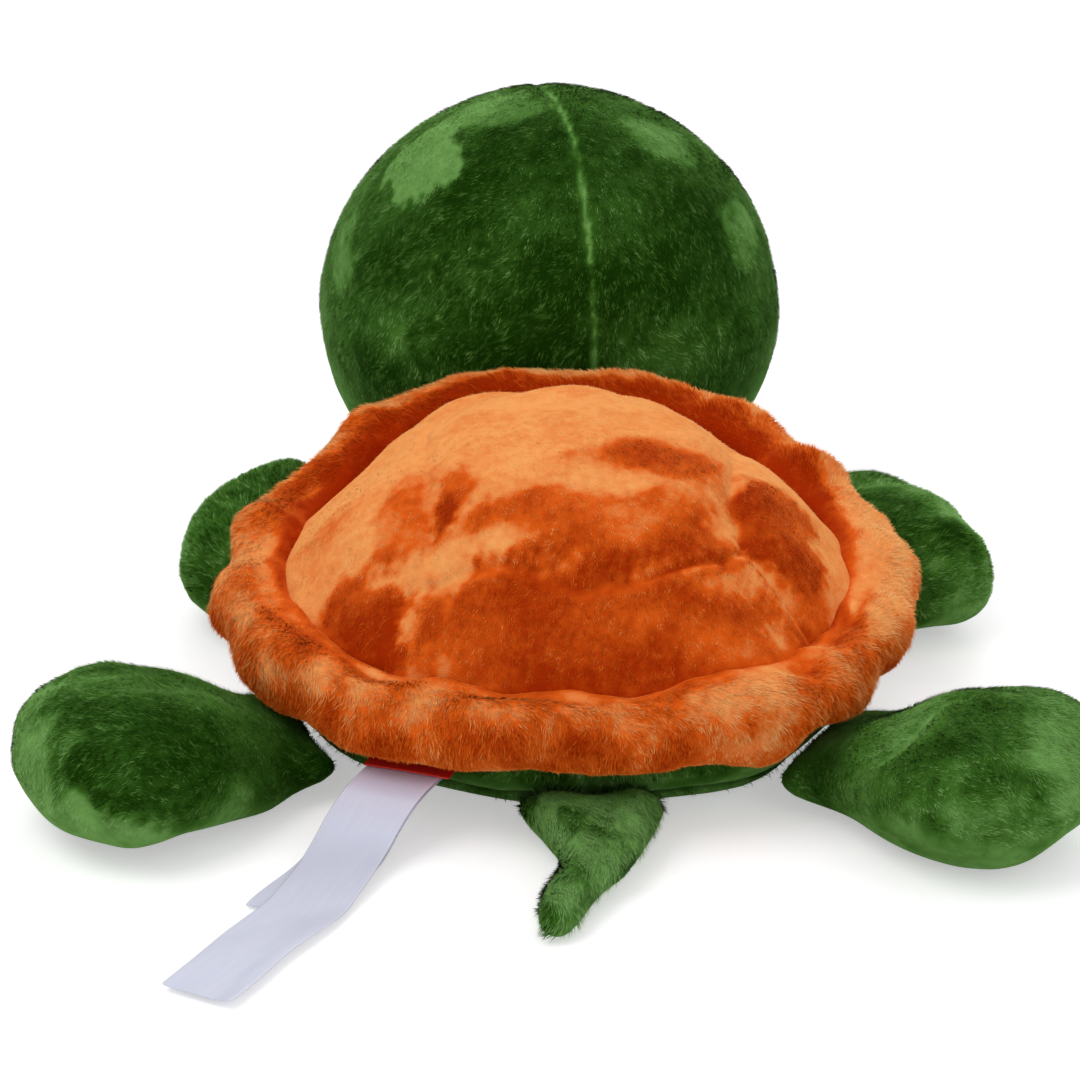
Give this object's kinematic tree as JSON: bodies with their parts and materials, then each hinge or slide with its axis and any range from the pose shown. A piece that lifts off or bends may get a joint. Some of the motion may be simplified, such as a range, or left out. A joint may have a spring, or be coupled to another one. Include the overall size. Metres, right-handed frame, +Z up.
{
  "type": "plush turtle",
  "caption": "Stuffed plush turtle lying on its belly, with a quilted shell in a padded roll, a round head on a short neck, paddle flippers, a bent tail and a blank satin care label.",
  "frame": {"origin": "middle of the flat belly panel, on the surface that the toy lies on", "axes": "+Y towards the head, +X towards the turtle's right side, +Z up"},
  "size_m": [0.2801, 0.3844, 0.1223],
  "materials": {
    "green_plush": "short-pile polyester plush, dark green with lighter nap",
    "orange_plush": "short-pile polyester plush, rust orange with lighter nap",
    "white_satin": "white satin ribbon, bare",
    "red_ribbon": "red woven ribbon, bare",
    "black_plastic": "moulded black, polished",
    "white_plastic": "moulded, undyed",
    "bag_cloth": "thin undyed cotton bag"
  },
  "bodies": {
    "torso": {"body": "green_plush", "belly_panel": "green_plush", "pellet_bag": "bag_cloth", "shell_dome": "orange_plush", "shell_rim": "orange_plush"},
    "neck_block": {"neck": "green_plush"},
    "head_ball": {"head": "green_plush", "left_eye": "black_plastic", "left_eye_washer": "white_plastic", "right_eye": "black_plastic", "right_eye_washer": "white_plastic"},
    "front_left_limb": {"front_left_flipper": "green_plush"},
    "front_right_limb": {"front_right_flipper": "green_plush"},
    "rear_left_limb": {"rear_left_flipper": "green_plush"},
    "rear_right_limb": {"rear_right_flipper": "green_plush"},
    "tail_limb": {"tail": "green_plush"},
    "care_label": {"care_ribbon_long": "white_satin", "care_ribbon_short": "white_satin", "seam_tab": "red_ribbon"}
  },
  "joints": [
    {"name": "head_turn", "type": "hinge", "parent": "torso", "child": "neck_block", "pos_m": [-0.0035, 0.15032, 0.0603], "axis": [0, 0, 1], "range_deg": [-24, 6]},
    {"name": "head_nod", "type": "hinge", "parent": "neck_block", "child": "head_ball", "pos_m": [-0.0035, 0.15032, 0.0603], "axis": [0.9877, 0.1564, 0], "range_deg": [-8, 12]},
    {"name": "front_left_flap", "type": "hinge", "parent": "torso", "child": "front_left_limb", "pos_m": [-0.0704, 0.04065, 0.013], "axis": [0.5, 0.866, 0], "range_deg": [-15, 22]},
    {"name": "front_right_flap", "type": "hinge", "parent": "torso", "child": "front_right_limb", "pos_m": [0.06761, 0.04475, 0.013], "axis": [0.5519, -0.8339, 0], "range_deg": [-15, 22]},
    {"name": "rear_left_flap", "type": "hinge", "parent": "torso", "child": "rear_left_limb", "pos_m": [-0.07368, -0.04084, 0.0098], "axis": [-0.4848, 0.8746, 0], "range_deg": [-15, 16]},
    {"name": "rear_right_flap", "type": "hinge", "parent": "torso", "child": "rear_right_limb", "pos_m": [0.07173, -0.04838, 0.0098], "axis": [-0.5592, -0.829, 0], "range_deg": [-15, 16]},
    {"name": "tail_lift", "type": "hinge", "parent": "torso", "child": "tail_limb", "pos_m": [0.00682, -0.07797, 0.0085], "axis": [-1, 0, 0], "range_deg": [-15, 22]},
    {"name": "label_lift", "type": "hinge", "parent": "torso", "child": "care_label", "pos_m": [-0.03666, -0.06349, 0.016], "axis": [-0.9432, 0.3322, 0], "range_deg": [0, 12]}
  ]
}
